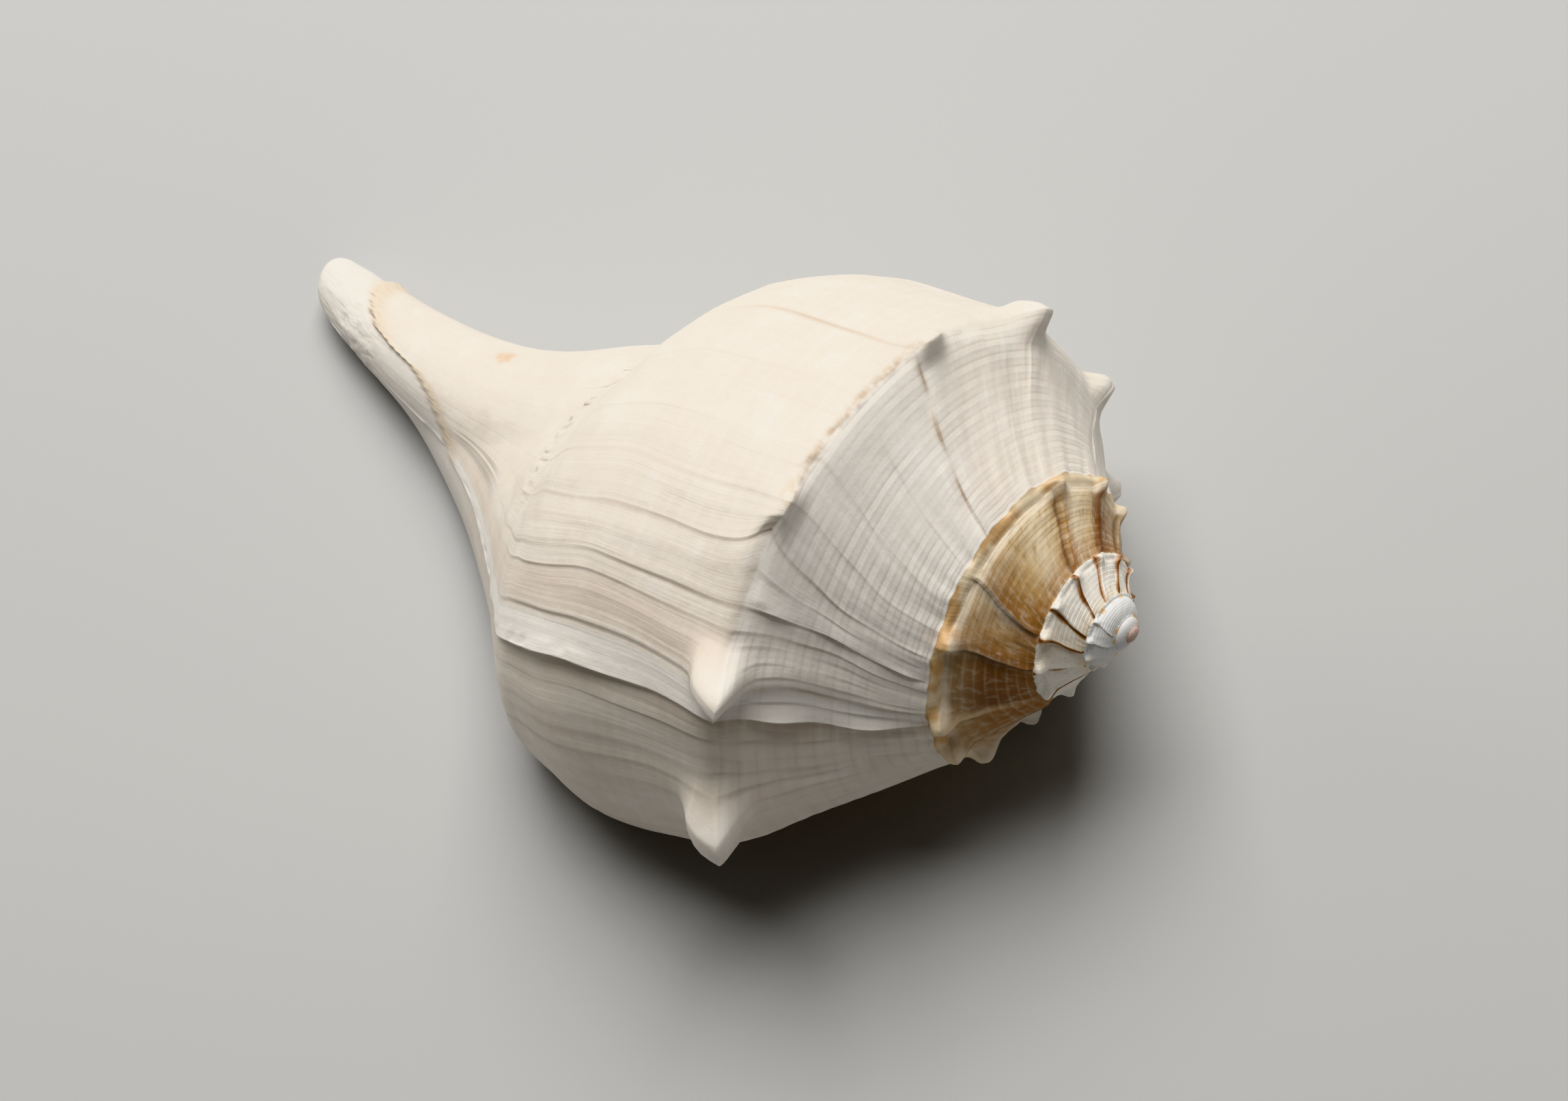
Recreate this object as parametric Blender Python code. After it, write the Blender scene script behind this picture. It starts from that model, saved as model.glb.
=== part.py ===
"""A left-handed whelk shell, one closed piece, lying with its opening down.

The shell is built the way it grows. One profile runs from the suture over the ramp and
the keel, down the body and along the canal. It is turned about the axis while it grows,
and every turn starts just below the keel of the turn before it.
"""
import bpy
import numpy as np
from math import radians, pi
from mathutils import Matrix, Vector

# size of the shell: radius of the keel where the growth angle is zero
UNIT = 0.048

# growth of the keel radius with the growth angle, in units of UNIT
GROWTH = 0.1243
GROWTH_BEND = 0.0008
EARLY_ANGLE = -1000.0
EARLY_GROWTH = 0.115
KEEL_DROP = 0.798
SUTURE_OUT = 1.076
SUTURE_DROP = 0.047
CORNER_DROP = 0.075
RAMP_HOLLOW = 0.045
SHELL_LENGTH = 3.63

# body profile: depth below the tip and width, both as shares of the keel radius
BODY_DEPTH = (0.8, 1.0, 1.3, 1.6, 1.9, 2.2, 2.5, 2.9, 3.6)
BODY_WIDTH = (1.0, 0.991, 0.986, 0.905, 0.590, 0.317, 0.148, 0.02, 0.0)

# the belly swells a little more close to the lip
BELLY_SWELL = 0.035

# canal profile: depth and girth in units of UNIT
CANAL_DEPTH = (1.2, 2.0, 2.6, 3.1, 3.50, 3.63)
CANAL_WIDTH = (0.476, 0.391, 0.201, 0.165, 0.130, 0.095)
CANAL_BEND = 0.155
CANAL_BOW = 0.080

# growth lines: how far each stretch of the profile runs ahead of the keel, in degrees
LEAD_SUTURE = 24.0
LEAD_NECK = 16.0
LEAD_BELLY = 7.0

# mesh layout: one column every six degrees, a turn is met again after SHIFT columns
STEP = 6
SHIFT = 56
FIRST = -1632
LIP = 78
INSIDE = 192
RAMP_SHARES = (0.0, 0.30, 0.60, 0.85, 1.0)
BODY_SHARES = (
    0.09, 0.15, 0.22, 0.29, 0.355, 0.42, 0.48, 0.54, 0.60, 0.67, 0.75, 0.83, 0.91, 0.97, 1.0,
)

# wall thickness in metres, at the body and at the canal end
WALL_BODY = 0.0027
WALL_CANAL = 0.0019

# knobs of the keel: growth angle, outward and upward reach as shares of the keel radius
KNOB_OUT = 0.080
KNOB_UP = 0.045
KNOB_WIDTH = 9.0
KNOB_SHOULDER = 0.22
KEEL_SAG = 0.030
KNOBS = (
    72, 36, 0, -42, -72, -114, -144, -180, -216, -246, -270, -294, -330, -354, -378, -408,
    -444, -474, -504, -534, -564, -594, -630, -660, -690, -720, -744, -774, -804, -834,
    -864, -894, -924, -954, -984,
)

# resting pose: turn about the shell axis, then tilt of the axis, in degrees
REST_TURN = 15.63
REST_TILT = -77.30
REST_ROLL = 180.0


def keel_size(degrees):
    """Keel radius at a growth angle, in units of UNIT."""
    angle = np.radians(np.asarray(degrees, float))
    early = radians(EARLY_ANGLE)
    later = np.maximum(angle, early)
    power = GROWTH * later + GROWTH_BEND * later * later + EARLY_GROWTH * (angle - later)
    return np.exp(power)


def smooth_curve(stops, values, place):
    """Rounded curve through the given values that never overshoots them."""
    x = np.array(stops, float)
    y = np.array(values, float)
    slope = np.diff(y) / np.diff(x)
    rise = np.zeros(len(x))
    product = slope[:-1] * slope[1:]
    total = slope[:-1] + slope[1:]
    rise[1:-1] = np.where(product > 0, 2 * product / (total + np.sign(total) * 1e-12 + 1e-15), 0)
    rise[0] = slope[0]
    rise[-1] = slope[-1]
    place = np.clip(place, x[0], x[-1])
    i = np.clip(np.searchsorted(x, place, side="right") - 1, 0, len(x) - 2)
    h = x[i + 1] - x[i]
    t = (place - x[i]) / h
    low = y[i] * (1 + 2 * t) * (1 - t) ** 2 + rise[i] * h * t * (1 - t) ** 2
    high = y[i + 1] * t * t * (3 - 2 * t) + rise[i + 1] * h * t * t * (t - 1)
    return low + high


def ease(t):
    t = np.clip(t, 0.0, 1.0)
    return t * t * (3 - 2 * t)


def canal_share(degrees):
    """Girth of the canal round the shell, thin at the columella and full at the lip."""
    inner = 0.40 + 0.52 * ease((degrees + 265) / 150.0)
    later = (keel_size(np.maximum(degrees, -115)) / keel_size(-115)) ** 0.49
    return inner * later


def body_radius(degrees, z):
    size = keel_size(degrees)
    body = size * smooth_curve(BODY_DEPTH, BODY_WIDTH, -z / size)
    body = body * (1.0 + BELLY_SWELL * ease((degrees - 20) / 60.0) * ease((-z / size - 0.85) / 0.5))
    canal = smooth_curve(CANAL_DEPTH, CANAL_WIDTH, -z) * canal_share(degrees)
    blend = 0.04 * size
    return 0.5 * (body + canal + np.sqrt((body - canal) ** 2 + blend * blend)) - 0.0005


def canal_offset(z):
    """Sideways bend of the canal away from the lip."""
    t = np.clip((-z - 1.8) / 1.9, 0.0, 1.0)
    return CANAL_BOW * np.sin(pi * t) - CANAL_BEND * t * t


def ring_point(degrees, radius, z):
    angle = np.radians(degrees)
    return np.array([radius * np.cos(angle), radius * np.sin(angle) + canal_offset(z), z])


def ramp_point(column, share, knobs):
    """Point on the ramp between the suture and the keel of one growth column."""
    degrees = column + LEAD_SUTURE * (1 - share) ** 1.2
    before = keel_size(degrees - 360)
    size = keel_size(degrees)
    top = np.array([SUTURE_OUT * before, -(KEEL_DROP + SUTURE_DROP) * before])
    low = np.array([size, -KEEL_DROP * size])
    place = top + (low - top) * share
    hollow = RAMP_HOLLOW * (size - before) * np.sin(pi * share)
    place = place + np.array([-0.55, -0.83]) * hollow
    if knobs:
        fade = KNOB_SHOULDER ** (4.0 * (1 - share))
        place = place + np.array([KNOB_OUT, KNOB_UP]) * knob_reach(column) * size * fade
        place[0] -= keel_sag(column) * size * fade
    return ring_point(degrees, place[0], place[1])


def knob_reach(column):
    """One at the tip of a knob, a small share on the columns beside it."""
    nearest = min(abs(column - knob) for knob in KNOBS)
    return float(np.clip(1.0 - nearest / KNOB_WIDTH, 0.0, 1.0))


def keel_sag(column):
    """The keel hangs back a little between two knobs."""
    nearest = min(abs(column - knob) for knob in KNOBS)
    return KEEL_SAG * float(ease((nearest - 3.0) / 12.0))


def body_point(column, share, knobs):
    """Point below the keel of one growth column, down to the end of the canal."""
    lead = LEAD_NECK * float(ease(share / 0.55))
    lead += LEAD_BELLY * np.sin(pi * min(share / 0.5, 1.0))
    degrees = column + lead
    size = keel_size(degrees)
    top = -KEEL_DROP * size
    z = top + (-SHELL_LENGTH - top) * share
    radius = body_radius(degrees, z)
    if knobs:
        swell = 0.35 * KNOB_OUT * knob_reach(column) - keel_sag(column)
        radius = radius + swell * size * np.exp(-share / 0.06)
    return ring_point(degrees, radius, z)


def seam_point(column):
    """Point where the next turn starts, just below the keel."""
    return ramp_point(column + 360 - LEAD_SUTURE, 0.0, False)


def collar_point(column, knobs):
    """The same height on the free body, eased into the seam beside the lip."""
    size = keel_size(column)
    z = -(KEEL_DROP + SUTURE_DROP) * size
    seam = seam_point(column)
    swell = 0.5 * KNOB_OUT * knob_reach(column) - keel_sag(column) if knobs else 0.0
    free = ring_point(column, body_radius(column, z) + swell * size, z)
    share = float(ease((column - (LIP - SHIFT * STEP)) / 24.0))
    return seam * (1 - share) + free * share


def corner_point(column):
    """Inner corner of the opening, a wall thickness below the seam."""
    size = keel_size(column)
    z = -(KEEL_DROP + SUTURE_DROP + CORNER_DROP) * size
    return ring_point(column, body_radius(column, z), z)


def body_rows(column, knobs):
    return [body_point(column, share, knobs) for share in BODY_SHARES]


def smooth_column(column):
    """Whole profile of one column without knobs, used to place the inner wall."""
    rows = [ramp_point(column, share, False) for share in RAMP_SHARES]
    return rows + [collar_point(column, False), corner_point(column)] + body_rows(column, False)


def inner_column(column):
    """Inner wall: the outer profile moved in by the wall thickness."""
    before = np.array(smooth_column(column - 3))
    here = np.array(smooth_column(column))
    after = np.array(smooth_column(column + 3))
    along = np.gradient(here, axis=0)
    around = after - before
    normal = np.cross(along, around)
    normal /= np.linalg.norm(normal, axis=1)[:, None]
    outward = here * np.array([1.0, 1.0, 0.0])
    outward[:5, 2] += 0.5
    if np.sum(normal * outward) < 0:
        normal = -normal
    depth = np.clip((-here[:, 2] - 1.8) / 1.9, 0.0, 1.0)
    wall = (WALL_BODY + (WALL_CANAL - WALL_BODY) * depth) / UNIT
    return list((here - normal * wall[:, None])[1:])


class Shell:
    """Collects corners and triangles."""

    def __init__(self):
        self.points = []
        self.faces = []

    def add(self, point):
        self.points.append(np.array(point, float))
        return len(self.points) - 1

    def add_all(self, points):
        return [self.add(point) for point in points]

    def triangle(self, a, b, c):
        if a != b and b != c and a != c:
            self.faces.append((a, b, c))

    def quad(self, a, b, c, d):
        p = self.points
        if np.linalg.norm(p[a] - p[c]) <= np.linalg.norm(p[b] - p[d]):
            self.triangle(a, b, c)
            self.triangle(a, c, d)
        else:
            self.triangle(a, b, d)
            self.triangle(b, c, d)

    def strip(self, left, right):
        """Skin between two chains of the same length, seen from outside."""
        for i in range(len(left) - 1):
            self.quad(left[i], left[i + 1], right[i + 1], right[i])

    def lace(self, left, right):
        """Skin between two chains of any length, by the shorter diagonal."""
        p = self.points
        i = 0
        j = 0
        while i < len(left) - 1 or j < len(right) - 1:
            step_left = i < len(left) - 1
            if step_left and j < len(right) - 1:
                first = np.linalg.norm(p[left[i + 1]] - p[right[j]])
                second = np.linalg.norm(p[left[i]] - p[right[j + 1]])
                step_left = first <= second
            if step_left:
                self.triangle(left[i], left[i + 1], right[j])
                i += 1
            else:
                self.triangle(left[i], right[j + 1], right[j])
                j += 1


def build_shell():
    shell = Shell()
    columns = list(range(FIRST, LIP + STEP, STEP))
    last = len(columns) - 1
    open_from = last - SHIFT
    tip = shell.add((0.0, 0.0, -0.35 * float(keel_size(FIRST))))

    # ramp rows of every column, whose lower end is the seam met by the next turn
    ramps = []
    for i, column in enumerate(columns):
        rows = [ramp_point(column, share, True) for share in RAMP_SHARES]
        if i < SHIFT:
            ramps.append([tip] + shell.add_all(rows[1:]))
        else:
            ramps.append(shell.add_all(rows))
    seams = []
    for i, column in enumerate(columns):
        if i <= open_from:
            seams.append(ramps[i + SHIFT][0])
        else:
            seams.append(shell.add(collar_point(column, True)))

    # body rows of the last turn and of the wall seen inside the opening
    deep = open_from - INSIDE // STEP
    corners = {}
    bodies = {}
    for i in range(deep, last + 1):
        corners[i] = shell.add(corner_point(columns[i]))
        bodies[i] = shell.add_all(body_rows(columns[i], i > open_from))

    # inner wall of the last turn
    inner = {}
    for i in range(last - INSIDE // STEP, last + 1):
        rows = shell.add_all(inner_column(columns[i]))
        inner[i] = [corners[i - SHIFT]] + rows

    # outside skin
    for i in range(last):
        shell.strip(ramps[i] + [seams[i]], ramps[i + 1] + [seams[i + 1]])
    for i in range(open_from, last):
        left = [seams[i], corners[i]] + bodies[i]
        right = [seams[i + 1], corners[i + 1]] + bodies[i + 1]
        shell.strip(left, right)

    # small cap where the first turn starts at the tip
    first = ramps[0] + [seams[0]]
    for j in range(1, len(first) - 1):
        shell.triangle(first[0], first[j + 1], first[j])

    # wall inside the opening and inner wall
    for i in range(deep, open_from):
        shell.strip([corners[i]] + bodies[i], [corners[i + 1]] + bodies[i + 1])
    for i in range(last - INSIDE // STEP, last):
        shell.strip(inner[i + 1], inner[i])

    # lip, deep end of the hollow and end of the canal
    lip = ramps[last] + [seams[last], corners[last]] + bodies[last]
    shell.lace(lip, inner[last])
    deep_wall = inner[last - INSIDE // STEP]
    shell.lace(deep_wall, [corners[deep]] + bodies[deep])
    ring = [bodies[i][-1] for i in range(last, open_from - 1, -1)]
    back = [inner[i][-1] for i in range(last, last - INSIDE // STEP - 1, -1)]
    back += [bodies[i][-1] for i in range(deep, open_from + 1)]
    shell.lace(ring, back)
    return shell


def place_at_rest(points):
    """Turns the shell into its resting pose and puts its lowest point on the ground."""
    turn = Matrix.Rotation(radians(REST_TURN), 3, "Z")
    tilt = Matrix.Rotation(radians(REST_TILT), 3, "Y")
    roll = Matrix.Rotation(radians(REST_ROLL), 3, "Z")
    whole = roll @ tilt @ turn
    moved = np.array([whole @ Vector(point * UNIT) for point in points])
    middle = 0.5 * (moved.min(axis=0) + moved.max(axis=0))
    middle[2] = moved[:, 2].min()
    return moved - middle


def make_object(name, points, faces):
    for old in list(bpy.data.objects):
        bpy.data.objects.remove(old, do_unlink=True)
    mesh = bpy.data.meshes.new(name)
    mesh.from_pydata([tuple(point) for point in points], [], faces)
    mesh.validate()
    mesh.update()
    for polygon in mesh.polygons:
        polygon.use_smooth = True
    material = bpy.data.materials.new("shell_ivory")
    material.use_nodes = True
    shader = material.node_tree.nodes["Principled BSDF"]
    shader.inputs["Base Color"].default_value = (0.80, 0.76, 0.70, 1.0)
    shader.inputs["Roughness"].default_value = 0.45
    mesh.materials.append(material)
    item = bpy.data.objects.new(name, mesh)
    bpy.context.scene.collection.objects.link(item)
    return item


def main():
    shell = build_shell()
    points = place_at_rest(shell.points)
    make_object("whelk_shell", points, shell.faces)


main()
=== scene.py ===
"""A left-handed whelk shell lying on its opening, on a plain pale floor."""
import bpy
import numpy as np
from math import radians, pi
from mathutils import Euler, Matrix, Vector


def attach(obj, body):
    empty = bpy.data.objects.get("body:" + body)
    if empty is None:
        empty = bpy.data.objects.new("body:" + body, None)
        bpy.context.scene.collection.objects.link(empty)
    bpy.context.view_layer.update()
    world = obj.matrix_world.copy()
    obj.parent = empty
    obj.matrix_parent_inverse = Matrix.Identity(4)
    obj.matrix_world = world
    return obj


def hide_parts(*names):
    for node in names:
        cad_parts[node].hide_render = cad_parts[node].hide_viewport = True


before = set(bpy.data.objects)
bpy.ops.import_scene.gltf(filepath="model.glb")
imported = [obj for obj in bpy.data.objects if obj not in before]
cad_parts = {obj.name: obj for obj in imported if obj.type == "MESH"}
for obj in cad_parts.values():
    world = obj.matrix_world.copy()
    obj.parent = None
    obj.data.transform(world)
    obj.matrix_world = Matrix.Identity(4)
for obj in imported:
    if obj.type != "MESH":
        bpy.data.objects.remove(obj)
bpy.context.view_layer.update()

# the shell's growth, in units of UNIT metres and degrees of turn
UNIT = 0.048

# growth of the keel for each radian of turn, a little more later on, and steady before EARLY_ANGLE
GROWTH = 0.1243
GROWTH_BEND = 0.0008
EARLY_ANGLE = -1000.0
EARLY_GROWTH = 0.115

# keel, seam and ramp, in keel sizes; RAMP_OUT and RAMP_UP are the ramp's outward direction
KEEL_DROP = 0.798
SUTURE_OUT = 1.048
SUTURE_DROP = 0.055
RAMP_HOLLOW = 0.045
RAMP_OUT = 0.55
RAMP_UP = 0.83
KEEL_BLUNT = 0.012
KNOB_BLUNT = 0.10
KEEL_SAG = 0.030

# outline of the body, in keel sizes, and of the canal: depth along the axis, and radius
SHELL_LENGTH = 3.615
BODY_DEPTH = (0.8, 1.0, 1.3, 1.6, 1.9, 2.2, 2.5, 2.9, 3.6)
BODY_WIDTH = (1.0, 0.991, 0.986, 0.905, 0.590, 0.317, 0.148, 0.02, 0.0)
BELLY_SWELL = 0.035
CANAL_DEPTH = (1.2, 2.0, 2.6, 3.1, 3.50, 3.59, 3.615)
CANAL_WIDTH = (0.476, 0.402, 0.226, 0.162, 0.116, 0.085, 0.050)
CANAL_BEND = 0.180
CANAL_BOW = 0.096

# degrees by which growth lines run ahead of the keel: at the suture, and from keel to canal end
LEAD_SUTURE = 24.0
LEAD_PLACES = (0.0, 0.10, 0.20, 0.28, 0.34, 0.42, 0.48, 0.56, 1.0)
LEAD_BODY = (0.0, 0.0, 0.6, 4.0, 7.5, 15.0, 17.5, 19.0, 19.0)
LEAD_LIP = (0.0, 5.5, 11.4, 15.1, 16.6, 16.9, 16.4, 16.0, 16.0)

# one turn is met again after PERIOD degrees; OLD_TURN ends the golden turn, and the hollow is INSIDE deep
PERIOD = 336.0
LIP = 78.0
OLD_TURN = -0.62
FIRST_OPEN = LIP - PERIOD
TURNS = 6
INSIDE = 192.0

# wall in metres, and how far the lip's edge stands ahead
WALL_BODY = 0.0027
WALL_CANAL = 0.0019
LIP_ROUND = 0.014

# growth map: the ramp takes 0 to 1, then come the shelf, the body, and from WALL_PLACE on the inside
SHELF_SPAN = 0.05
SEAM_PLACE = 1.0 + SHELF_SPAN
BODY_SPAN = 0.95
WALL_PLACE = 3.0

# resting pose and place, as the solid model has them
REST_TURN = 15.63
REST_TILT = -77.30
REST_ROLL = 180.0
REST_SHIFT = (0.086045, 0.010226, 0.039993)

# camera, fitted to the photo's outline
CAMERA_PLACE = (0.18508, -0.11650, 0.49568)
CAMERA_TURN = (20.923, 9.758, 29.675)
CAMERA_LENS = 72.28

# knobs of the keel: growth angle, reach outward, reach upward, width before, width after, foot
KNOBS = (
    (68.0, 0.116, 0.080, 11.0, 7.0, 0.135),
    (38.0, 0.118, 0.085, 10.0, 4.5, 0.12),
    (3.0, 0.046, 0.042, 8.0, 5.0, 0.08),
    (-40.5, 0.050, 0.050, 7.0, 7.0, 0.085),
    (-74.5, 0.075, 0.090, 8.0, 9.0, 0.13),
    (-113.7, 0.085, 0.060, 8.0, 8.0, 0.14),
    (-144.1, 0.080, 0.060, 8.0, 8.0, 0.14),
    (-180.0, 0.080, 0.055, 9.0, 7.0, 0.14),
    (-215.0, 0.080, 0.055, 9.0, 7.0, 0.14),
    (-246.0, 0.075, 0.055, 8.0, 7.0, 0.14),
)
# growth angles of the knobs of the earlier turns, all of one shape
EARLY_KNOBS = (
    -272, -294, -330, -412, -447, -474, -504, -534, -564, -594, -630, -665,
    -691, -716, -743, -774, -805, -834, -864, -894, -924, -954, -984, -1014, -1044, -1074,
)
EARLY_KNOB_SHAPE = (0.085, 0.050, 9.0, 5.0, 0.14)

# a fold of the golden turn that has no knob
LONE_FOLD = -357.0

# growth steps, where an old lip shows: growth angle, height on the ramp, height on the body, brown line
STEPS = (
    (-216.0, 0.010, 0.010, 0.5), (-181.0, 0.008, 0.008, 0.4), (-145.0, 0.008, 0.008, 0.3),
    (-114.0, 0.008, 0.006, 0.3), (-73.0, 0.005, 0.004, 0.2), (-36.5, 0.014, 0.008, 1.5),
    (-22.0, 0.002, 0.002, 0.1), (-8.0, 0.001, 0.002, 0.15), (2.0, 0.001, 0.003, 0.2),
    (12.0, 0.004, 0.0045, 0.6), (17.0, 0.003, 0.001, 0.15), (22.3, 0.016, 0.005, 0.8),
    (26.3, 0.004, 0.005, 0.9), (28.5, 0.003, 0.000, 0.1), (31.0, 0.003, 0.000, 0.1),
    (33.3, 0.003, 0.000, 0.1), (35.2, 0.005, 0.003, 0.9), (38.5, 0.004, 0.000, 0.1),
    (42.6, 0.038, 0.036, 0.7), (45.5, 0.002, 0.001, 0.2), (48.3, 0.006, 0.005, 0.5),
    (53.0, 0.002, 0.001, 0.2), (56.0, 0.003, 0.001, 0.2), (59.0, 0.004, 0.003, 0.4),
    (62.5, 0.003, 0.001, 0.3), (65.5, 0.002, 0.001, 0.2), (69.0, 0.003, 0.001, 0.1),
    (73.0, 0.006, 0.003, 0.4),
)

# where the older canal ends under the newer one: growth angle, place from keel to canal end
OLD_CANAL = (
    (-120.0, 0.905), (-85.0, 0.903), (-54.5, 0.892), (-34.0, 0.876), (-20.0, 0.856), (-13.0, 0.820),
    (-9.0, 0.775), (3.0, 0.731), (28.0, 0.688), (43.0, 0.670),
)

# marks of the last turn: growth angle, and place in the growth map
WHITE_LIP = 42.6
CHALK_SCAR = -33.0
STAR_SCAR = (-8.0, 0.378)
ORANGE_SPOT = (-60.0, 1.660)
GREY_STREAK = (22.0, 1.61)

# colours of the finish, as red, green and blue
COLOURS = {
    "ivory": (0.87, 0.80, 0.705), "ivory band": (0.76, 0.685, 0.59), "growth line": (0.60, 0.51, 0.41),
    "warm patch": (0.80, 0.66, 0.54), "chalk": (0.90, 0.86, 0.80), "worn hollow": (0.62, 0.55, 0.47),
    "bright ivory": (0.92, 0.88, 0.82), "painted lip shadow": (0.50, 0.41, 0.31), "keel tan": (0.55, 0.42, 0.28),
    "ramp": (0.90, 0.85, 0.79), "painted ramp light": (0.96, 0.94, 0.90), "star scar": (0.33, 0.28, 0.22),
    "chalk scar": (0.90, 0.87, 0.82), "groove": (0.48, 0.41, 0.33), "pink band": (0.78, 0.63, 0.51),
    "new canal": (0.80, 0.77, 0.72), "canal rim": (0.68, 0.53, 0.35), "orange spot": (0.72, 0.40, 0.16),
    "grey streak": (0.46, 0.41, 0.35), "body lines and painted shade": (0.40, 0.29, 0.19), "rubbed knob": (0.93, 0.89, 0.82),
    "inner rust": (0.34, 0.15, 0.045), "outer gold": (0.80, 0.65, 0.43), "gold groove": (0.26, 0.12, 0.04),
    "gold thread": (0.82, 0.70, 0.53), "pale streak": (0.84, 0.74, 0.58), "dark streak": (0.24, 0.10, 0.035),
    "fold brown": (0.10, 0.035, 0.01), "keel cream": (0.84, 0.73, 0.57), "keel band": (0.88, 0.74, 0.52),
    "keel rust": (0.55, 0.29, 0.09), "suture brown": (0.50, 0.31, 0.14), "third turn": (0.94, 0.90, 0.82),
    "third rust": (0.70, 0.50, 0.28), "third suture": (0.78, 0.58, 0.32), "third patch": (0.78, 0.60, 0.36),
    "rust halo": (0.50, 0.25, 0.085), "fold line": (0.16, 0.055, 0.015), "blue white": (0.80, 0.80, 0.79),
    "amber line": (0.74, 0.42, 0.12), "orange fleck": (0.80, 0.50, 0.18), "white thread": (0.86, 0.84, 0.80),
    "pink tip": (0.68, 0.50, 0.43), "mouth cream": (0.86, 0.78, 0.68), "mouth peach": (0.72, 0.50, 0.34),
}

# tones along the golden turn: growth angle, colour
GOLD_TONES = (
    (-522.0, (0.40, 0.24, 0.11)), (-470.0, (0.56, 0.40, 0.22)), (-449.0, (0.26, 0.12, 0.05)),
    (-445.0, (0.18, 0.07, 0.025)), (-440.0, (0.64, 0.46, 0.24)), (-422.0, (0.80, 0.68, 0.48)),
    (-413.0, (0.44, 0.24, 0.09)), (-408.0, (0.64, 0.45, 0.23)), (-394.0, (0.80, 0.67, 0.46)),
    (-380.0, (0.62, 0.44, 0.22)), (-366.0, (0.44, 0.25, 0.10)), (-357.5, (0.30, 0.15, 0.06)),
    (-355.5, (0.62, 0.55, 0.46)), (-351.0, (0.50, 0.36, 0.22)), (-344.0, (0.56, 0.36, 0.18)),
    (-335.0, (0.43, 0.23, 0.10)), (-331.0, (0.28, 0.13, 0.05)), (-329.0, (0.60, 0.48, 0.37)),
    (-325.0, (0.25, 0.11, 0.04)), (-310.0, (0.23, 0.095, 0.035)), (-298.0, (0.20, 0.08, 0.03)),
    (-294.5, (0.62, 0.45, 0.28)), (-290.0, (0.46, 0.25, 0.10)), (-281.0, (0.34, 0.16, 0.06)),
    (-274.0, (0.38, 0.19, 0.08)), (-271.0, (0.62, 0.48, 0.34)), (-266.0, (0.36, 0.18, 0.08)),
    (-250.0, (0.42, 0.25, 0.12)), (-244.0, (0.62, 0.50, 0.36)), (-228.0, (0.50, 0.36, 0.23)),
    (-216.0, (0.68, 0.58, 0.46)),
)

# sizes of the fine relief, in metres as far as they are lengths
RELIEF_SIZES = {
    "Thread Count": 13.0, "Old Thread Count": 9.0, "Thread Height": 0.00014,
    "Crumb Size": 0.0021, "Crumb Height": 0.0021, "Seed": 7,
}


def keel_size(degrees):
    """Keel radius at a growth angle."""
    angle = np.radians(np.asarray(degrees, float))
    early = radians(EARLY_ANGLE)
    later = np.maximum(angle, early)
    return np.exp(GROWTH * later + GROWTH_BEND * later * later + EARLY_GROWTH * (angle - later))


def smooth_curve(stops, values, place):
    """Rounded curve through the given values that never overshoots them."""
    x = np.array(stops, float)
    y = np.array(values, float)
    slope = np.diff(y) / np.diff(x)
    rise = np.zeros(len(x))
    product = slope[:-1] * slope[1:]
    total = slope[:-1] + slope[1:]
    rise[1:-1] = np.where(product > 0, 2 * product / (total + np.sign(total) * 1e-12 + 1e-15), 0)
    rise[0] = slope[0]
    rise[-1] = slope[-1]
    place = np.clip(place, x[0], x[-1])
    i = np.clip(np.searchsorted(x, place, side="right") - 1, 0, len(x) - 2)
    h = x[i + 1] - x[i]
    t = (place - x[i]) / h
    low = y[i] * (1 + 2 * t) * (1 - t) ** 2 + rise[i] * h * t * (1 - t) ** 2
    high = y[i + 1] * t * t * (3 - 2 * t) + rise[i + 1] * h * t * t * (t - 1)
    return low + high


def ease(t):
    """Smooth step from 0 to 1."""
    t = np.clip(t, 0.0, 1.0)
    return t * t * (3 - 2 * t)


def canal_share(degrees):
    """Girth of the canal round the shell, thin at the columella and full at the lip."""
    inner = 0.40 + 0.52 * ease((degrees + 265) / 150.0)
    later = (keel_size(np.maximum(degrees, -115)) / keel_size(-115)) ** 0.49
    return inner * later


def body_radius(degrees, z):
    """Distance of the body and canal from the axis, the two blended into each other."""
    size = keel_size(degrees)
    body = size * smooth_curve(BODY_DEPTH, BODY_WIDTH, -z / size)
    body = body * (1.0 + BELLY_SWELL * ease((degrees - 20) / 60.0) * ease((-z / size - 0.85) / 0.5))
    canal = smooth_curve(CANAL_DEPTH, CANAL_WIDTH, -z) * canal_share(degrees)
    blend = (0.012 + 0.03 * ease((degrees - 5.0) / 50.0)) * size
    return 0.5 * (body + canal + np.sqrt((body - canal) ** 2 + blend * blend)) - 0.0005


def canal_offset(z):
    """Sideways bend of the canal away from the lip."""
    t = np.clip((-z - 1.8) / 1.9, 0.0, 1.0)
    return CANAL_BOW * np.sin(pi * t) - CANAL_BEND * t * t


def ring_points(degrees, radius, z):
    """Points in the shell's own axes, z along its axis with the tip at the origin."""
    angle = np.radians(degrees)
    across = radius * np.sin(angle) + canal_offset(z)
    return np.stack([radius * np.cos(angle), across, z], axis=-1)


def ripple(column, share, seed):
    """Soft irregular value between about -1 and 1."""
    a = np.sin(0.131 * column + 7.0 * share + seed)
    b = np.sin(0.287 * column - 12.0 * share + 2.3 * seed + 1.3)
    c = np.sin(0.533 * column + 29.0 * share + 3.7 * seed + 0.4)
    return 0.5 * a + 0.3 * b + 0.2 * c


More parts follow.
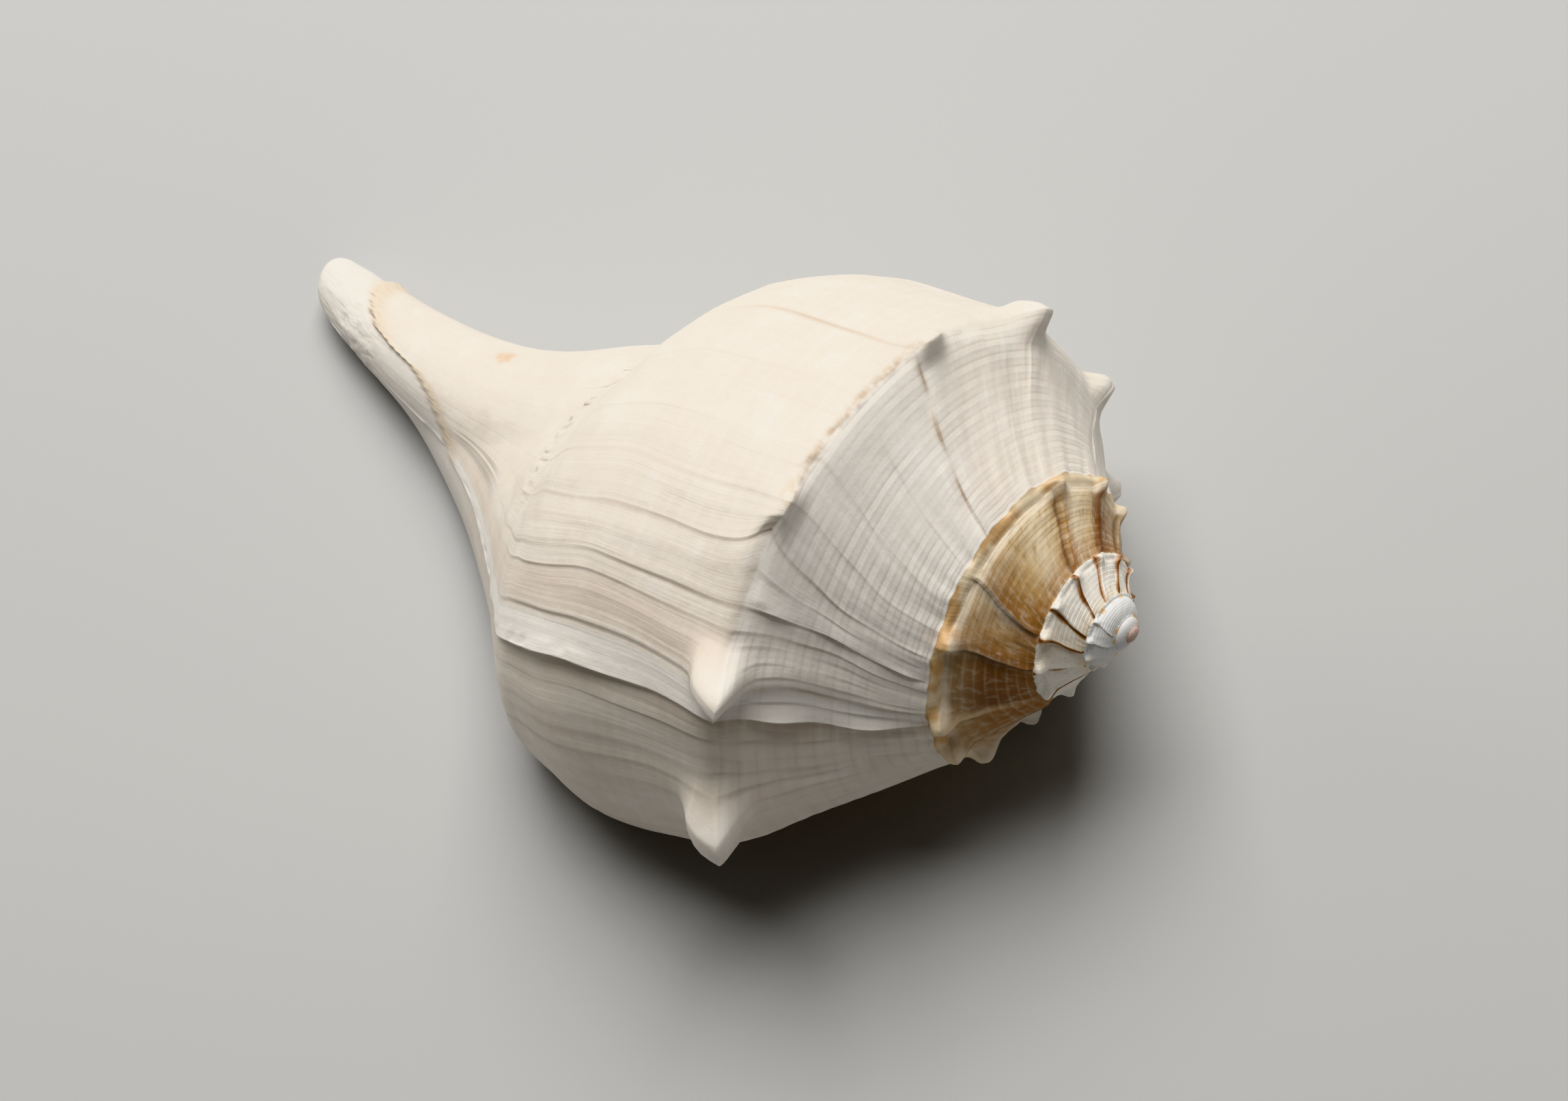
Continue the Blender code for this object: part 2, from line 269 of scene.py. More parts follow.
def knob_values(column):
    """Reach outward and upward of the keel knobs, and how far the keel sags between them."""
    out = np.zeros_like(column)
    up = np.zeros_like(column)
    nearest = np.full_like(column, 99.0)
    feet = np.full_like(column, 0.14)
    early = [(float(place), *EARLY_KNOB_SHAPE) for place in EARLY_KNOBS]
    for place, reach, lift, before, after, foot in list(KNOBS) + early:
        d = column - place
        t = np.where(d < 0, -d / before, d / after)
        cone = (1.0 - np.clip(t, 0.0, 1.0) ** 1.3) ** 2.1
        shape = np.where(cone < 0.55, cone, 0.55 + 0.17 * np.tanh((cone - 0.55) / 0.17)) / 0.72
        feet = np.where(np.abs(d) < nearest, foot, feet)
        out = np.maximum(out, reach * shape)
        up = np.maximum(up, lift * shape)
        nearest = np.minimum(nearest, np.abs(d))
    sag = KEEL_SAG * ease((nearest - 3.0) / 12.0) * (1.0 - 0.75 * np.exp(-((column + 18.0) / 34.0) ** 2))
    return out, up, sag, feet


def knob_foot(drop, feet):
    """How a knob dies out down the body."""
    return (1.0 - ease(drop / feet)) * np.exp(-drop / 0.5)


def growth_lead(column, share):
    """How far growth lines run ahead of their keel angle, down the body and canal."""
    body = smooth_curve(LEAD_PLACES, LEAD_BODY, share)
    last = smooth_curve(LEAD_PLACES, LEAD_LIP, share)
    end = ease((column - 50.0) / (LIP - 50.0))
    return body * (1.0 - end) + last * end


def ramp_lead(column, share):
    """How far growth lines run ahead of their keel angle, up the ramp to the suture."""
    power = 1.42 + 0.5 * np.exp(-((column - 25.0) / 9.0) ** 2)
    return LEAD_SUTURE * (1 - share) ** power


def keel_bend(column):
    """Growth lines swing back to the open knob and ahead round the two newest knobs."""
    back = -5.0 * np.exp(-((column - 12.0) / 6.0) ** 2)
    ahead = 4.5 * np.exp(-((column - 35.5) / 6.0) ** 2) + 3.0 * np.exp(-((column - 64.0) / 6.0) ** 2)
    return back + ahead


def growth_relief(column, share, on_ramp):
    """Old lips: each stands a little proud, then the shell drops back below it."""
    total = np.zeros(np.broadcast(column, share).shape)
    for i, (place, ramp_height, body_height, _) in enumerate(STEPS):
        height = ramp_height if on_ramp else body_height
        d = column - place
        before = 0.55 * np.exp(np.minimum(d, 0.0) / 2.6) * (d < 0)
        after = -0.45 * np.exp(-np.maximum(d, 0.0) / 7.0) * (d >= 0)
        along = 0.62 + 0.38 * np.sin(5.1 * i + share * (9.0 + 3.0 * (i % 4)))
        total = total + height * along * (before + after)
    fine = np.sin(2.9 * column + 3.0 * np.sin(0.37 * column) + 2.0 * share)
    total = total + 0.0005 * fine + 0.0028 * ripple(1.9 * column, 0.4 * share, 2.0)
    return total


def old_turn_relief(column, share):
    """Folds on the ramp of the earlier turns, one at each knob and one more."""
    total = np.zeros(np.broadcast(column, share).shape)
    for place in EARLY_KNOBS + (LONE_FOLD,):
        d = column - place - 1.5
        before = 0.6 * np.exp(np.minimum(d, 0.0) / 5.0) * (d < 0)
        after = -0.4 * np.exp(-np.maximum(d, 0.0) / 8.0) * (d >= 0)
        total = total + 0.040 * (before + after)
    return total + 0.004 * ripple(1.7 * column, share, 4.0)


def relief(column, share, on_ramp):
    """Relief of the last turn, passing into that of the earlier turns."""
    newer = ease((column - FIRST_OPEN + 10.0) / 20.0)
    last = growth_relief(column, share, on_ramp)
    return newer * last + (1 - newer) * old_turn_relief(column, share)


def wander(column, share, window):
    """Growth lines wander a little about their angle."""
    return 1.1 * window * ripple(0.55 * column, 0.55 * share, 0.7)


def ramp_grid(column, share):
    """Ramp between the suture and the keel, one row of points for each growth column."""
    column = column[:, None]
    share = share[None, :]
    window = np.sin(pi * share) ** 0.7
    degrees = column + ramp_lead(column, share) + wander(column, share, window)
    degrees = degrees + keel_bend(column) * np.exp(-(1 - share) / 0.12) * ease(share / 0.3)
    before = keel_size(degrees - 360)
    size = keel_size(degrees)
    edge = SUTURE_OUT + 0.022 * ripple(2.0 * column, 0.0, 5.0) * (1 - share) ** 3
    radius = edge * before * (1 - share) + size * share
    z = -(KEEL_DROP + SUTURE_DROP) * before * (1 - share) - KEEL_DROP * size * share
    round_early = ease((-column - 860.0) / 120.0)
    hollow = (RAMP_HOLLOW - 0.17 * round_early) * (size - before) * np.sin(pi * share)
    lift = relief(column, share, True) * size * ease(share / 0.10) - hollow
    out, up, sag, feet = knob_values(column + keel_bend(column))
    near = (1.0 - np.clip((1 - share) / (1.55 * feet), 0.0, 1.0) ** 1.5) ** 1.6
    blend = relief(column, 1.0 + 0.0 * share, True) - relief(column, 0.0 * share, False)
    lift = lift - 0.5 * blend * size * np.exp(-(1 - share) / 0.05)
    fold = np.exp(-(1 - share) / 0.42) * 0.22
    blunt = (KEEL_BLUNT + KNOB_BLUNT * out) * size * np.exp(-(1 - share) / 0.06)
    radius = radius + RAMP_OUT * lift + size * (out * (near + fold) / 1.22 - sag * near) - blunt
    z = z + RAMP_UP * lift + size * up * (near + fold) / 1.22 - 0.5 * blunt
    return ring_points(degrees, radius, z)


def shelf_grid(column, along):
    """Narrow shelf just below the keel, down to the seam where the next turn starts."""
    column = column[:, None]
    along = along[None, :]
    size = keel_size(column)
    out, up, sag, feet = knob_values(column + keel_bend(column))
    fade = (1 - along) ** 0.8
    lift = relief(column, 0.0 * along, False) * size * (1 - along)
    blunt = (KEEL_BLUNT + KNOB_BLUNT * out) * size * np.exp(-along / 0.6) * (1 - along)
    bulge = 0.012 * np.sin(pi * along)
    radius = size * (1 + (SUTURE_OUT - 1) * along + bulge + (out - sag) * fade) + 0.5 * lift - blunt
    z = -size * (KEEL_DROP + SUTURE_DROP * along ** 1.2 - up * fade) - 0.5 * blunt
    turn = ring_points(column + 0 * along, radius, z)
    flat = -size * (KEEL_DROP + SUTURE_DROP * along)
    drop = SUTURE_DROP * along
    bumps = relief(column, 0.0 * along, False)
    swell = (out * knob_foot(drop, feet) - sag * np.exp(-drop / 0.15) + bumps) * size
    lift = up * size * (1.0 - along) ** 1.5
    turned = column + keel_bend(column) * np.exp(-drop / 0.06)
    free = ring_points(turned, body_radius(column, flat) + swell - blunt, flat + lift - 0.5 * blunt)
    share = ease((column - FIRST_OPEN) / 18.0)[..., None]
    return turn * (1 - share) + free * share


def belly_places(column, along):
    """Keel size, height, keel height and place from keel to canal end of points below the shelf."""
    keel = keel_size(column)
    start = -(KEEL_DROP + SUTURE_DROP) * keel
    z = start + (-SHELL_LENGTH - start) * along
    top = -KEEL_DROP * keel
    return keel, z, top, (top - z) / (top + SHELL_LENGTH)


def belly_grid(column, along):
    """Body and canal below the shelf: along runs from 0 at the seam to 1 at the canal end."""
    column = column[:, None]
    along = along[None, :]
    keel, z, top, share = belly_places(column, along)
    degrees = column + growth_lead(column, share)
    degrees = degrees + wander(column, share * 2.0, ease(along / 0.08))
    degrees = degrees + keel_bend(column) * np.exp(-(top - z) / keel / 0.06)
    out, _, sag, feet = knob_values(column + keel_bend(column))
    thin = 1.0 - 0.90 * ease((share - 0.30) / 0.18)
    bumps = relief(column, share, False) * keel * thin
    drop = (top - z) / keel
    swell = (out * knob_foot(drop, feet) - sag * np.exp(-drop / 0.15)) * keel
    mouth = ease((column - FIRST_OPEN) / 12.0)
    radius = body_radius(degrees, z) + mouth * (bumps + swell)
    radius = radius + mouth * canal_relief(column, share)
    return ring_points(degrees, radius, z)


def canal_relief(column, share):
    """Ragged end of the older canal, the newer canal beyond it, and the chalky fold at the neck."""
    places = [place for place, _ in OLD_CANAL]
    edges = [edge for _, edge in OLD_CANAL]
    ragged = 0.0020 * np.sin(0.55 * column) + 0.0010 * np.sin(1.3 * column + 1.0)
    inside = np.interp(column, places, edges) + ragged - share
    inside = np.where(column < 43.0, inside, -0.05)
    step = 0.010 * ease(0.5 + inside / 0.016) * ease((share - 0.55) / 0.1)
    bead = 0.010 * np.exp(-((inside - 0.012) / 0.010) ** 2) * ease((-5.0 - column) / 10.0)
    crumbs = 0.6 + 0.4 * np.sin(1.3 * column + 2.0 * np.sin(0.5 * column))
    chalky = ease((column + 110.0) / 30.0) * ease((20.0 - column) / 20.0) * crumbs
    smooth = ease((column - 0.0) / 20.0) * ease((58.0 - column) / 12.0)
    fold = 0.016 * chalky * np.exp(-((share - 0.428) / 0.012) ** 2)
    fold = fold + 0.012 * smooth * np.exp(-((share - 0.452) / 0.014) ** 2)
    return step + bead * ease((share - 0.7) / 0.1) + fold


class Skin:
    """Collects corners, triangles and the growth map of each triangle corner."""

    def __init__(self):
        self.blocks = []
        self.count = 0
        self.faces = []
        self.maps = []

    def add(self, points):
        points = np.asarray(points, float).reshape(-1, 3)
        self.blocks.append(points)
        first = self.count
        self.count += len(points)
        return list(range(first, self.count))

    def points(self):
        return np.concatenate(self.blocks)

    def triangle(self, a, b, c):
        if a[0] != b[0] and b[0] != c[0] and a[0] != c[0]:
            self.faces.append((a[0], b[0], c[0]))
            self.maps.append((a[1], b[1], c[1]))

    def strip(self, left, right):
        """Skin between two chains; longer or shorter chains are laced by their place."""
        if len(left) == len(right):
            for i in range(len(left) - 1):
                self.triangle(left[i], left[i + 1], right[i + 1])
                self.triangle(left[i], right[i + 1], right[i])
            return
        i = 0
        j = 0
        while i < len(left) - 1 or j < len(right) - 1:
            next_left = (i + 1) / (len(left) - 1)
            next_right = (j + 1) / (len(right) - 1)
            if i < len(left) - 1 and (next_left <= next_right or j == len(right) - 1):
                self.triangle(left[i], left[i + 1], right[j])
                i += 1
            else:
                self.triangle(left[i], right[j + 1], right[j])
                j += 1


def chain(indices, turns, shares):
    """Corners with their growth map: turns of growth, and place along the profile."""
    turns = np.broadcast_to(turns, (len(indices),))
    return [(i, (float(t), float(s))) for i, t, s in zip(indices, turns, shares)]


def column_angles():
    """Growth angles of the columns of one period, closer together where steps are."""
    coarse = list(np.arange(FIRST_OPEN, -72.0, 1.7))
    fine = list(np.arange(-72.0, LIP + 0.01, 0.75))
    angles = [a for a in coarse + fine if min(abs(a - s[0]) for s in STEPS) > 0.45]
    for place, _, _, _ in STEPS:
        angles += [place - 0.34, place - 0.10, place + 0.20]
    angles = sorted(a for a in angles if FIRST_OPEN < a < LIP)
    return np.array([FIRST_OPEN] + angles)


RAMP_ROWS = np.array(
    [0, 0.012, 0.03, 0.055] + list(np.linspace(0.085, 0.89, 24))
    + [0.915, 0.937, 0.955, 0.969, 0.981, 0.991, 1.0]
)
SHELF_ROWS = np.array([0.25, 0.5, 0.75])
INNER_RAMP_ROWS = np.array([0.12, 0.28, 0.44, 0.60, 0.75, 0.88, 0.97])
INNER_BODY_ROWS = np.concatenate([[0.035, 0.07], np.linspace(0.11, 1.0, 44)])
KEEL_ROW = len(INNER_RAMP_ROWS) - 0.5
CORNER_ROW = 3
INSIDE_COLUMNS = np.arange(FIRST_OPEN, FIRST_OPEN - INSIDE - 0.1, -3.0)


def belly_rows():
    """Rows down the body and canal, closer together at the neck and at the older canal's edge."""
    near = np.array([0.008, 0.018, 0.030, 0.043, 0.057, 0.072, 0.088])
    far = np.concatenate([
        np.linspace(0.105, 0.418, 26), np.linspace(0.429, 0.500, 11), np.linspace(0.515, 0.838, 24),
        np.linspace(0.847, 0.913, 14), np.linspace(0.925, 0.973, 4),
    ])
    end = np.array([0.982, 0.988, 0.994, 1.0])
    return np.concatenate([near, far, end])


def ramp_rows_of(period):
    """Fewer rows on the small early turns."""
    if period == 0:
        return RAMP_ROWS
    step = (1, 1, 2, 3, 5, 8)[period]
    rows = RAMP_ROWS[::step]
    return np.append(rows, 1.0) if rows[-1] < 1.0 else rows


def column_plan():
    """Growth angle and turn number of every column, from the tip to the lip."""
    angles = column_angles()
    plan = [(angle - PERIOD * turn, turn) for turn in range(TURNS - 1, -1, -1) for angle in angles]
    plan.append((LIP, 0))
    return np.array([angle for angle, _ in plan]), [turn for _, turn in plan], len(angles)


def add_ramps(skin, columns, turns, per_turn):
    """Ramp and shelf of every column; the ramps of the first turn start at the tip."""
    tip = skin.add([(0.0, 0.0, -0.35 * float(keel_size(columns[0])))])
    ramps = []
    shelves = []
    for turn in range(TURNS - 1, -1, -1):
        chosen = [i for i in range(len(columns)) if turns[i] == turn]
        rows = ramp_rows_of(turn)
        ramp = ramp_grid(columns[chosen], rows)
        shelf = shelf_grid(columns[chosen], SHELF_ROWS)
        for k, i in enumerate(chosen):
            place = columns[i] / 360.0
            first = tip if i < per_turn else skin.add(ramp[k, :1])
            ramps.append(chain(first + skin.add(ramp[k, 1:]), place, rows))
            shelves.append(chain(skin.add(shelf[k]), place, 1.0 + SHELF_SPAN * SHELF_ROWS))
    return ramps, shelves


def add_seams(skin, columns, ramps, per_turn):
    """Seam under each shelf: the suture of the next turn, or a free edge where no turn follows."""
    free = shelf_grid(columns, np.array([1.0]))
    seams = []
    for i, column in enumerate(columns):
        followed = i + per_turn < len(columns)
        index = ramps[i + per_turn][0][0] if followed else skin.add(free[i])[0]
        seams.append((index, (column / 360.0, SEAM_PLACE)))
    return seams


def lace_turns(skin, ramps, shelves, seams):
    """Skin of the ramps and shelves; gives back the side at the lip."""
    sides = [ramp + shelf + [seam] for ramp, shelf, seam in zip(ramps, shelves, seams)]
    for left, right in zip(sides, sides[1:]):
        skin.strip(left, right)
    first = sides[0]
    for j in range(1, len(first) - 1):
        skin.triangle(first[0], first[j + 1], first[j])
    return sides[-1]


def add_bellies(skin, columns, seams):
    """Body and canal of the last turn."""
    rows = belly_rows()
    bellies = []
    for column, points in zip(columns, belly_grid(columns, rows)):
        bellies.append(chain(skin.add(points), column / 360.0, SEAM_PLACE + BODY_SPAN * rows))
    sides = [[seam] + belly for seam, belly in zip(seams, bellies)]
    for left, right in zip(sides, sides[1:]):
        skin.strip(left, right)
    return bellies


def add_old_walls(skin, first_belly):
    """Outer side of the older turn seen inside the opening, from under the seam down the columella."""
    rows = np.concatenate([belly_rows()[CORNER_ROW:10:3], np.linspace(0.14, 1.0, 40)])
    grid = belly_grid(INSIDE_COLUMNS, rows)
    walls = [first_belly[CORNER_ROW:]]
    for column, points in zip(INSIDE_COLUMNS[1:], grid[1:]):
        walls.append(chain(skin.add(points), column / 360.0, SEAM_PLACE + BODY_SPAN * rows))
    for near, deep in zip(walls, walls[1:]):
        skin.strip(deep, near)
    return walls


def add_inner_walls(skin, walls):
    """Inner wall of the last turn, from the same corners as the older turn's walls."""
    inner = []
    for angle, wall in zip(INSIDE_COLUMNS, walls):
        place = (angle + PERIOD) / 360.0
        points = inner_points(angle + PERIOD)
        share = WALL_PLACE + np.linspace(0.02, 1.0, len(points))
        corner = (wall[0][0], (place, WALL_PLACE))
        inner.append([corner] + chain(skin.add(points), place, share))
    for near, deep in zip(inner, inner[1:]):
        skin.strip(near, deep)
    return inner


def add_lip(skin, outer, inner):
    """Rounded edge of the lip; gives back its middle line."""
    edge = skin.add(lip_middle(skin.points(), outer, inner))
    lip = chain(edge, LIP / 360.0, [WALL_PLACE] * len(edge))
    skin.strip(outer, lip)
    skin.strip(lip, inner)
    return lip


def build_skin():
    """The whole closed skin of the shell, from the tip to the lip and back along the inside."""
    skin = Skin()
    columns, turns, per_turn = column_plan()
    ramps, shelves = add_ramps(skin, columns, turns, per_turn)
    seams = add_seams(skin, columns, ramps, per_turn)
    lip_side = lace_turns(skin, ramps, shelves, seams)
    last_turn = len(columns) - 1 - per_turn
    bellies = add_bellies(skin, columns[last_turn:], seams[last_turn:])
    walls = add_old_walls(skin, bellies[0])
    inner = add_inner_walls(skin, walls)
    lip = add_lip(skin, lip_side + bellies[-1], inner[0])

    # corner where the lip meets the older turn
    corner = [seams[last_turn]] + bellies[0][:CORNER_ROW + 1]
    for upper, lower in zip(corner, corner[1:]):
        skin.triangle(lip[0], lower, upper)

    # deep end of the hollow, and end of the canal
    skin.strip(inner[-1], walls[-1])
    ring = [belly[-1] for belly in bellies[::-1]]
    back = [part[-1] for part in inner] + [part[-1] for part in walls[::-1]]
    skin.strip(ring, back)
    skin.triangle(ring[0], back[0], lip[-1])
    return skin


def inner_points(column):
    """Inner wall of one column: the plain outer profile moved in by the wall."""
    sides = []
    for turn in (column - 2.0, column, column + 2.0):
        here = np.array([turn])
        ramp = plain_ramp(here, INNER_RAMP_ROWS)[0]
        belly = plain_belly(here, INNER_BODY_ROWS)[0]
        sides.append(np.concatenate([ramp, belly]))
    along = np.gradient(sides[1], axis=0)
    normal = np.cross(along, sides[2] - sides[0])
    normal /= np.linalg.norm(normal, axis=1)[:, None]
    outward = sides[1] * np.array([1.0, 1.0, 0.0])
    if np.sum(normal * outward) < 0:
        normal = -normal
    depth = np.clip((-sides[1][:, 2] - 1.8) / 1.9, 0.0, 1.0)
    wall = (WALL_BODY + (WALL_CANAL - WALL_BODY) * depth) / UNIT
    # the wall is thicker near the keel, where the outer skin sags between the knobs
    from_keel = np.abs(np.arange(len(wall)) - KEEL_ROW)
    wall = wall * (1.0 + 0.9 * np.exp(-((from_keel / 2.0) ** 2)))
    return sides[1] - normal * wall[:, None]


def plain_ramp(column, share):
    """Ramp without knobs and old lips."""
    column = column[:, None]
    share = share[None, :]
    degrees = column + ramp_lead(column, share)
    before = keel_size(degrees - 360)
    size = keel_size(degrees)
    radius = SUTURE_OUT * before * (1 - share) + size * share
    z = -(KEEL_DROP + SUTURE_DROP) * before * (1 - share) - KEEL_DROP * size * share
    hollow = RAMP_HOLLOW * (size - before) * np.sin(pi * share)
    return ring_points(degrees, radius - RAMP_OUT * hollow, z - RAMP_UP * hollow)


def plain_belly(column, along):
    """Body and canal without knobs and old lips."""
    column = column[:, None]
    along = along[None, :]
    _, z, _, share = belly_places(column, along)
    degrees = column + growth_lead(column, share)
    return ring_points(degrees, body_radius(degrees, z), z)


def lip_middle(points, outer, inner):
    """Middle line of the lip's edge, a little ahead of the wall so that it looks rounded."""
    outside = points[[corner[0] for corner in outer]]
    inside = points[[corner[0] for corner in inner]]
    nearest = np.array([inside[np.argmin(np.linalg.norm(inside - p, axis=1))] for p in outside])
    middle = 0.5 * (outside + nearest)
    ahead = np.cross(np.array([0.0, 0.0, 1.0]), outside)
    ahead /= np.linalg.norm(ahead, axis=1)[:, None] + 1e-9
    middle[1:] += ahead[1:] * LIP_ROUND
    return middle


def body_share(place):
    """Place in the growth map of a place from keel to canal end."""
    return SEAM_PLACE + BODY_SPAN * (place - 0.0195) / 0.981


def rest_points(points):
    """The shell's own axes turned and moved into the resting pose."""
    turn = Matrix.Rotation(radians(REST_TURN), 3, "Z")
    tilt = Matrix.Rotation(radians(REST_TILT), 3, "Y")
    roll = Matrix.Rotation(radians(REST_ROLL), 3, "Z")
    whole = np.array(roll @ tilt @ turn)
    return points @ whole.T * UNIT + np.array(REST_SHIFT)


def stain_and_shade_values(turns, shares):
    """Strength of the brown growth lines at each triangle corner, and of the painted shade on the ramp just
    past each old lip.
    """
    column = turns * 360.0
    stain_and_shade = np.zeros_like(column)
    for i, (place, ramp_height, _, strength) in enumerate(STEPS):
        d = column - place
        width = np.where(d < 0, 0.28, 0.55)
        along = 0.55 + 0.45 * np.sin(4.3 * i + shares * (11.0 + 5.0 * (i % 3)))
        stain_and_shade = np.maximum(stain_and_shade, strength * along * np.exp(-(d / width) ** 2))
        # painted shade: the ramp just past each old lip is darkened in colour, as if in the lip's shadow
        shade = 12.0 * ramp_height * np.exp(-np.maximum(d, 0.0) / 3.5) * (d > 0) * (shares < 1.0)
        stain_and_shade = np.maximum(stain_and_shade, np.minimum(shade, 0.5) * along)
    for i, place in enumerate(EARLY_KNOBS):
        d = column - place - 1.5 - 1.5 * np.sin(3.0 * i)
        width = np.where(d < 0, 0.9, 2.6 + 1.2 * np.sin(2.0 * i + 9.0 * shares))
        stain_and_shade = np.maximum(stain_and_shade, np.exp(-(d / width) ** 2))
    return stain_and_shade


def point_values(corners, faces, count):
    """For each point: place on the profile, size of the turn, and how chalky and crumbled it is."""
    index = np.array(faces).ravel()
    turns = np.zeros(count)
    shares = np.zeros(count)
    turns[index] = corners[:, 0]
    shares[index] = corners[:, 1]
    seam = np.zeros(count)
    seam[index[(np.abs(corners[:, 1] - 1.05) < 1e-6) | (corners[:, 1] < 1e-6)]] = 1.0
    column = turns * 360.0
    keel = np.exp(-((shares - 1.0) / 0.022) ** 2)
    chipped = ease((column + 42.0) / 8.0) * ease((6.0 - column) / 8.0)
    older = ease((column + 500.0) / 30.0) * ease((-200.0 - column) / 30.0)
    chalk = keel * (0.15 + 0.85 * chipped + 0.5 * older)
    neck = np.exp(-((shares - 1.446) / 0.018) ** 2)
    chalk += 1.2 * neck * ease((column + 100.0) / 25.0) * ease((25.0 - column) / 25.0)
    edge = np.exp(-((column - 41.6) / 1.3) ** 2) * (shares > 1.06)
    chalk += 0.5 * edge * ease((shares - 1.10) / 0.15)
    scar = np.exp(-((column + 33.0) / 1.2) ** 2)
    chalk += 0.7 * scar * ease((shares - 0.22) / 0.04) * ease((0.42 - shares) / 0.04)
    chalk += 0.35 * ease((shares - 1.82) / 0.05) * ease((2.0 - shares) / 0.04)
    chalk += 0.05 * (shares > 1.06)
    outside = (shares < 2.2) * (1.0 - seam)
    return turns, shares, keel_size(column) * outside, np.clip(chalk, 0.0, 1.3)


def fine_relief_tree():
    """Geometry nodes: spiral threads on the ramps and crumbs on the chalky places."""
    tree = bpy.data.node_groups.new("fine_relief", "GeometryNodeTree")
    sockets = {}
    for name, kind in (
        ("Geometry", "Geometry"), ("Material", "Material"), ("Thread Count", "Float"),
        ("Old Thread Count", "Float"), ("Thread Height", "Float"), ("Crumb Size", "Float"),
        ("Crumb Height", "Float"), ("Seed", "Int"),
    ):
        sockets[name] = tree.interface.new_socket(name, in_out="INPUT", socket_type="NodeSocket" + kind)
    tree.interface.new_socket("Geometry", in_out="OUTPUT", socket_type="NodeSocketGeometry")
    nodes = Nodes(tree)
    given = tree.nodes.new("NodeGroupInput")
    inputs = {socket.name: Value(nodes, socket) for socket in given.outputs if socket.name}
    turn = nodes.point_attribute("turn")
    share = nodes.point_attribute("place")
    size = nodes.point_attribute("turn_size")
    chalk = nodes.point_attribute("chalk")
    position = nodes.node("GeometryNodeInputPosition")
    normal = nodes.node("GeometryNodeInputNormal")

    on_ramp = nodes.math("LESS_THAN", share, 1.0)
    window = nodes.math("MAXIMUM", (share * pi).sine(), 0.0) * on_ramp
    newer = nodes.math("GREATER_THAN", turn, OLD_TURN)
    count = inputs["Thread Count"] * newer + inputs["Old Thread Count"] * (1.0 - newer)
    wave = (share ** 0.8 * count * (2 * pi)).sine()
    uneven = nodes.node("ShaderNodeTexNoise", None, {"Vector": position, "Scale": 90.0, "Detail": 1.0})
    threads = wave * window * uneven * inputs["Thread Height"] * (1.0 - newer * 0.5)

    crumb_scale = 1.0 / inputs["Crumb Size"]
    where = {"Vector": position, "W": inputs["Seed"] * 1.7, "Scale": crumb_scale, "Detail": 2.0}
    crumbs = nodes.node("ShaderNodeTexNoise", {"noise_dimensions": "4D"}, where) - 0.5
    crumbs = crumbs * chalk * inputs["Crumb Height"]

    lift = (threads + crumbs) * size
    offset = nodes.node("ShaderNodeVectorMath", {"operation": "SCALE"}, {0: normal, "Scale": lift})
    moved = nodes.node("GeometryNodeSetPosition", None, {"Geometry": inputs["Geometry"], "Offset": offset})
    whole = nodes.node("GeometryNodeRealizeInstances", None, {"Geometry": moved})
    finish = {"Geometry": whole, "Material": inputs["Material"]}
    finished = nodes.node("GeometryNodeSetMaterial", None, finish)
    nodes.link(finished, tree.nodes.new("NodeGroupOutput").inputs[0])
    return tree, sockets


def add_fine_relief(shell, material):
    """Runs the node tree on the shell and keeps the result as its plain mesh."""
    tree, sockets = fine_relief_tree()
    modifier = shell.modifiers.new("fine_relief", "NODES")
    modifier.node_group = tree
    for name, value in {"Material": material, **RELIEF_SIZES}.items():
        modifier[sockets[name].identifier] = value
    graph = bpy.context.evaluated_depsgraph_get()
    mesh = bpy.data.meshes.new_from_object(
        shell.evaluated_get(graph), preserve_all_data_layers=True, depsgraph=graph
    )
    shell.modifiers.clear()
    shell.data = mesh
    mesh.name = "whelk_skin_mesh"


def pale_values(turns, shares):
    """How far the knobs of the last turn are rubbed pale, at each triangle corner."""
    column = turns * 360.0
    out = knob_values(column + keel_bend(column))[0]
    from_keel = np.where(shares < 1.0, (1.0 - shares) / 0.17, (shares - 1.0) / 0.06)
    return np.clip(out / 0.12, 0.0, 1.0) * np.exp(-(from_keel ** 2)) * (turns > OLD_TURN)


def add_values(mesh, name, domain, values):
    mesh.attributes.new(name, "FLOAT", domain).data.foreach_set("value", values)


def make_shell():
    """The shell's mesh in its resting pose, touching the ground, with its growth map and values."""
    skin = build_skin()
    points = rest_points(skin.points())
    points[:, 2] -= points[:, 2].min()
    mesh = bpy.data.meshes.new("whelk_skin")
    mesh.from_pydata(points.tolist(), [], skin.faces)
    growth = mesh.uv_layers.new(name="growth")
    corners = np.array(skin.maps, float).reshape(-1, 2)
    growth.data.foreach_set("uv", corners.ravel())
    add_values(mesh, "stain_and_shade", "CORNER", stain_and_shade_values(corners[:, 0], corners[:, 1]))
    add_values(mesh, "pale", "CORNER", pale_values(corners[:, 0], corners[:, 1]))
    kept = point_values(corners, skin.faces, len(points))
    for name, values in zip(("turn", "place", "turn_size", "chalk"), kept):
        add_values(mesh, name, "POINT", values)
    mesh.update()
    mesh.shade_smooth()
    shell = bpy.data.objects.new("whelk_skin", mesh)
    bpy.context.scene.collection.objects.link(shell)
    return shell


